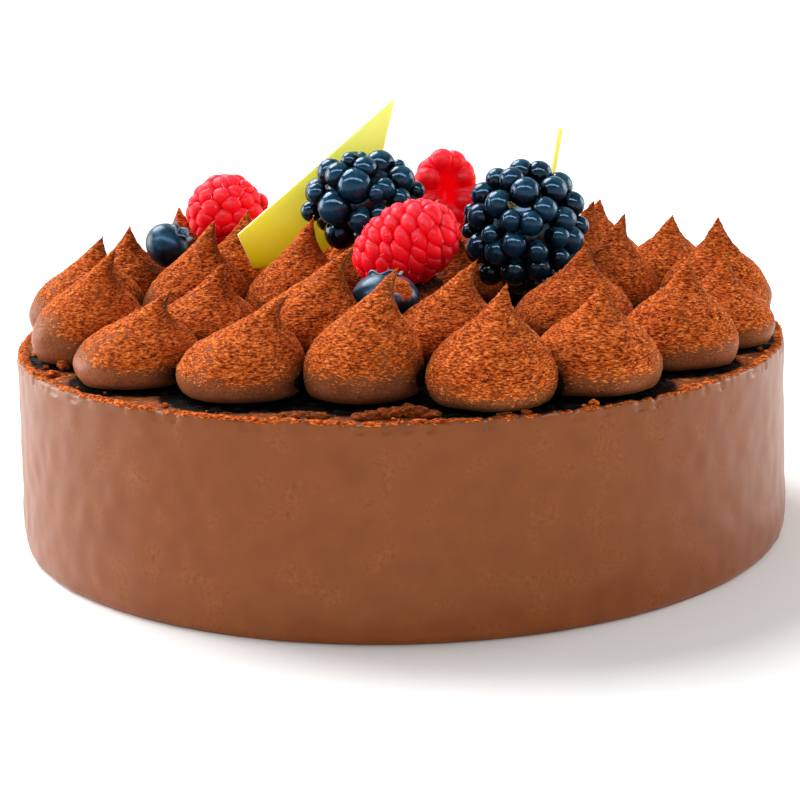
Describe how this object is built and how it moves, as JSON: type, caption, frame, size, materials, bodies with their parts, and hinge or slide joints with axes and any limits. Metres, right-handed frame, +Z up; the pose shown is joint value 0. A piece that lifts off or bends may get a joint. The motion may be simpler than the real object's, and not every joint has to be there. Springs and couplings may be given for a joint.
{
  "type": "chocolate truffle cake",
  "caption": "Whole round chocolate truffle cake: a low mousse drum covered with piped cocoa-dusted drops, with red and dark berries and thin blades of white chocolate on top.",
  "frame": {"origin": "centre of the drum's flat underside, on the table", "axes": "+Z up, +X to the right and -Y towards the viewer when the cake is seen from its front"},
  "size_m": [0.1828, 0.183, 0.0984],
  "materials": {
    "mousse": "satin set chocolate mousse, fine pores, pale grazing sheen",
    "cocoa": "matte cocoa powder over mousse, grainy",
    "raspberry": "moist bright red drupelets with soft highlights",
    "dark_berry": "glossy blue-black drupelets",
    "blueberry": "dark blue skin with a waxy bloom",
    "white_chocolate": "smooth tempered white chocolate with a soft sheen"
  },
  "bodies": {
    "root": {"blueberry_front": "blueberry", "blueberry_left": "blueberry", "cake_body": "mousse", "dark_berry_left": "dark_berry", "dark_berry_right": "dark_berry", "drop_inner_01": "cocoa", "drop_inner_02": "cocoa", "drop_inner_03": "cocoa", "drop_inner_04": "cocoa", "drop_inner_05": "cocoa", "drop_middle_01": "cocoa", "drop_middle_02": "cocoa", "drop_middle_03": "cocoa", "drop_middle_04": "cocoa", "drop_middle_05": "cocoa", "drop_middle_06": "cocoa", "drop_middle_07": "cocoa", "drop_middle_08": "cocoa", "drop_middle_09": "cocoa", "drop_middle_10": "cocoa", "drop_middle_11": "cocoa", "drop_outer_01": "cocoa", "drop_outer_02": "cocoa", "drop_outer_03": "cocoa", "drop_outer_04": "cocoa", "drop_outer_05": "cocoa", "drop_outer_06": "cocoa", "drop_outer_07": "cocoa", "drop_outer_08": "cocoa", "drop_outer_09": "cocoa", "drop_outer_10": "cocoa", "drop_outer_11": "cocoa", "drop_outer_12": "cocoa", "drop_outer_13": "cocoa", "drop_outer_14": "cocoa", "drop_outer_15": "cocoa", "drop_outer_16": "cocoa", "drop_outer_17": "cocoa", "drop_outer_18": "cocoa", "raspberry_back": "raspberry", "raspberry_front": "raspberry", "raspberry_left": "raspberry", "white_chocolate_large": "white_chocolate", "white_chocolate_small": "white_chocolate"}
  },
  "joints": []
}
